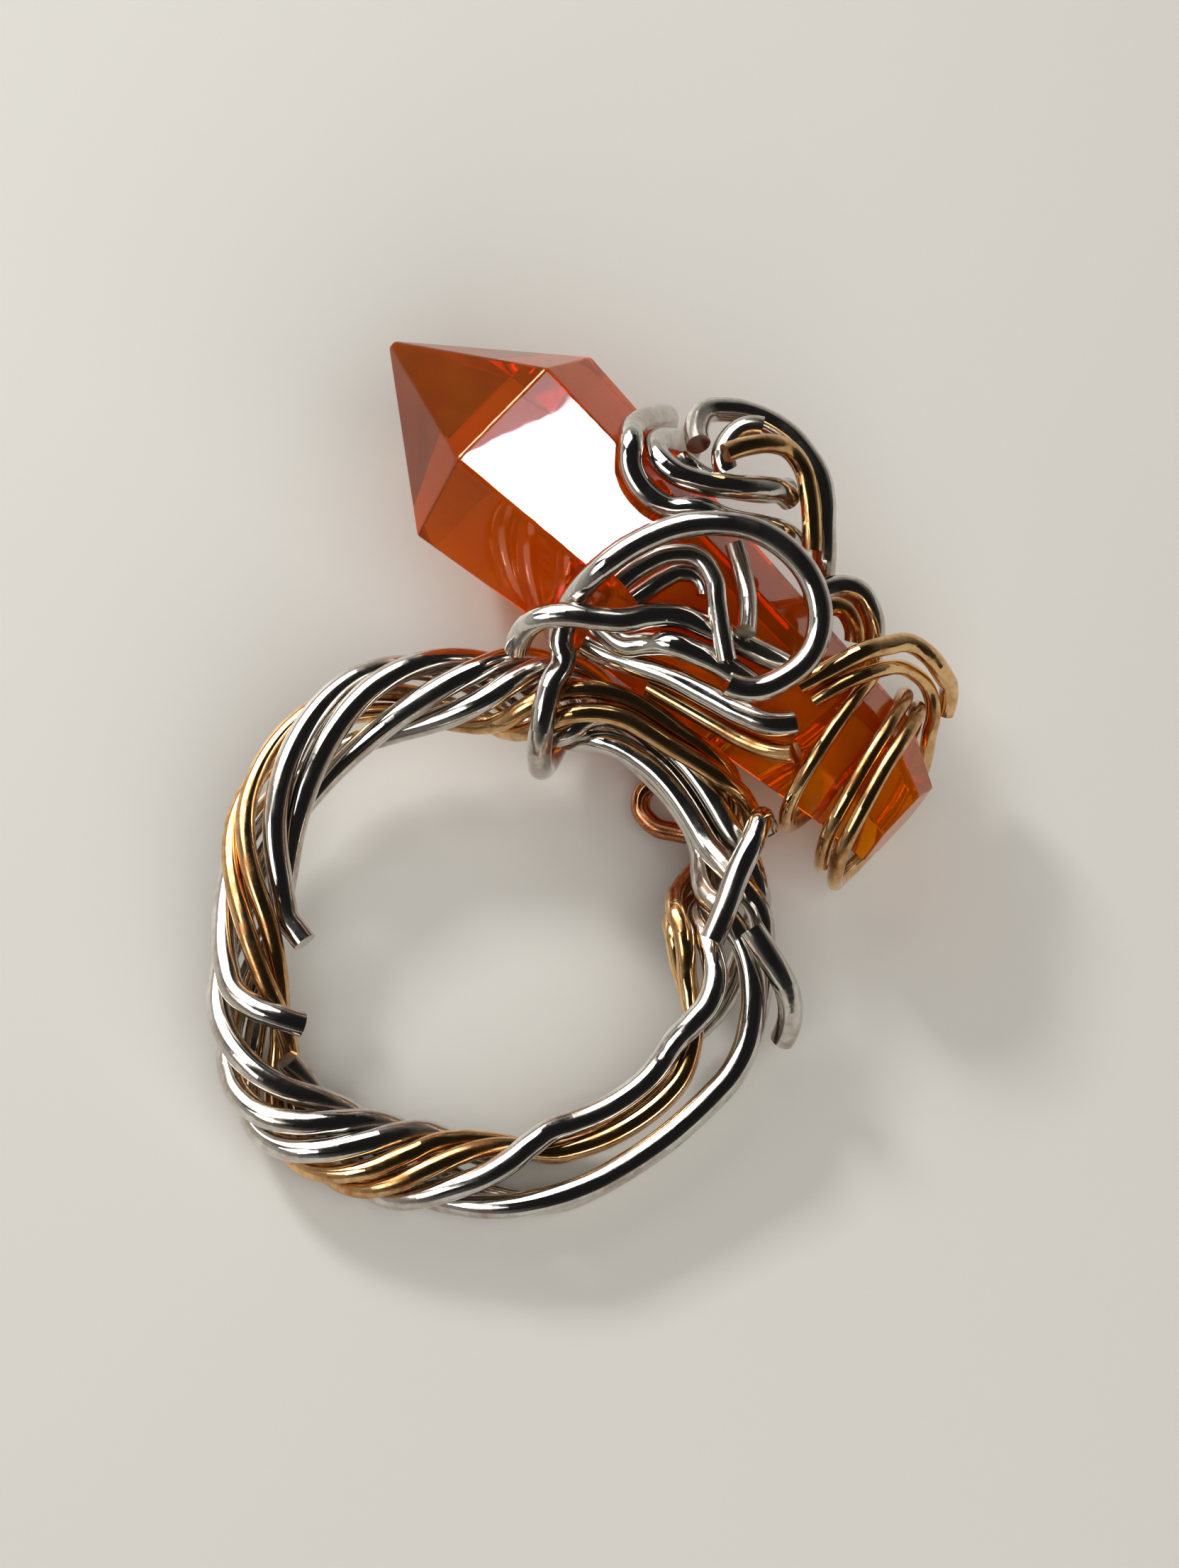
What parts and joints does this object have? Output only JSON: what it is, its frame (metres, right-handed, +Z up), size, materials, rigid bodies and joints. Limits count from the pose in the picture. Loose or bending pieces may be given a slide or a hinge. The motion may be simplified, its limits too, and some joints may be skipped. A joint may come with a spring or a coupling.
{
  "type": "wire-wrapped crystal finger ring",
  "caption": "Finger ring of twisted silver and gold coloured wire that binds a tapered, double-pointed amber-coloured crystal; it lies on its side.",
  "frame": {"origin": "centre of the bounding box at the surface that the ring lies on", "axes": "+Z up; +Y away from the picture's camera, toward the crystal's point; +X to the camera's right"},
  "size_m": [0.0298, 0.036, 0.0121],
  "materials": {
    "amber": "polished, transparent orange-brown",
    "silver_wire": "bright drawn wire",
    "gold_wire": "bright drawn wire"
  },
  "bodies": {
    "root": {"crystal": "amber", "back_curl": "gold_wire", "big_loop": "silver_wire", "collar_wire": "silver_wire", "crossing_wire": "silver_wire", "curled_end": "silver_wire", "fan_inner": "silver_wire", "fan_middle": "silver_wire", "fan_outer": "silver_wire", "gold_coil": "gold_wire", "gold_curl": "gold_wire", "gold_saddle": "gold_wire", "gold_strand_1": "gold_wire", "gold_strand_2": "gold_wire", "inner_loop": "silver_wire", "lower_loop": "silver_wire", "lower_stay": "silver_wire", "post_wire": "silver_wire", "rosette_gold": "gold_wire", "rosette_inner": "silver_wire", "rosette_wire": "silver_wire", "saddle_wire": "silver_wire", "side_gold": "gold_wire", "side_loop": "silver_wire", "silver_strand_1": "silver_wire", "silver_strand_2": "silver_wire", "silver_strand_3": "silver_wire", "silver_strand_4": "silver_wire"}
  },
  "joints": []
}
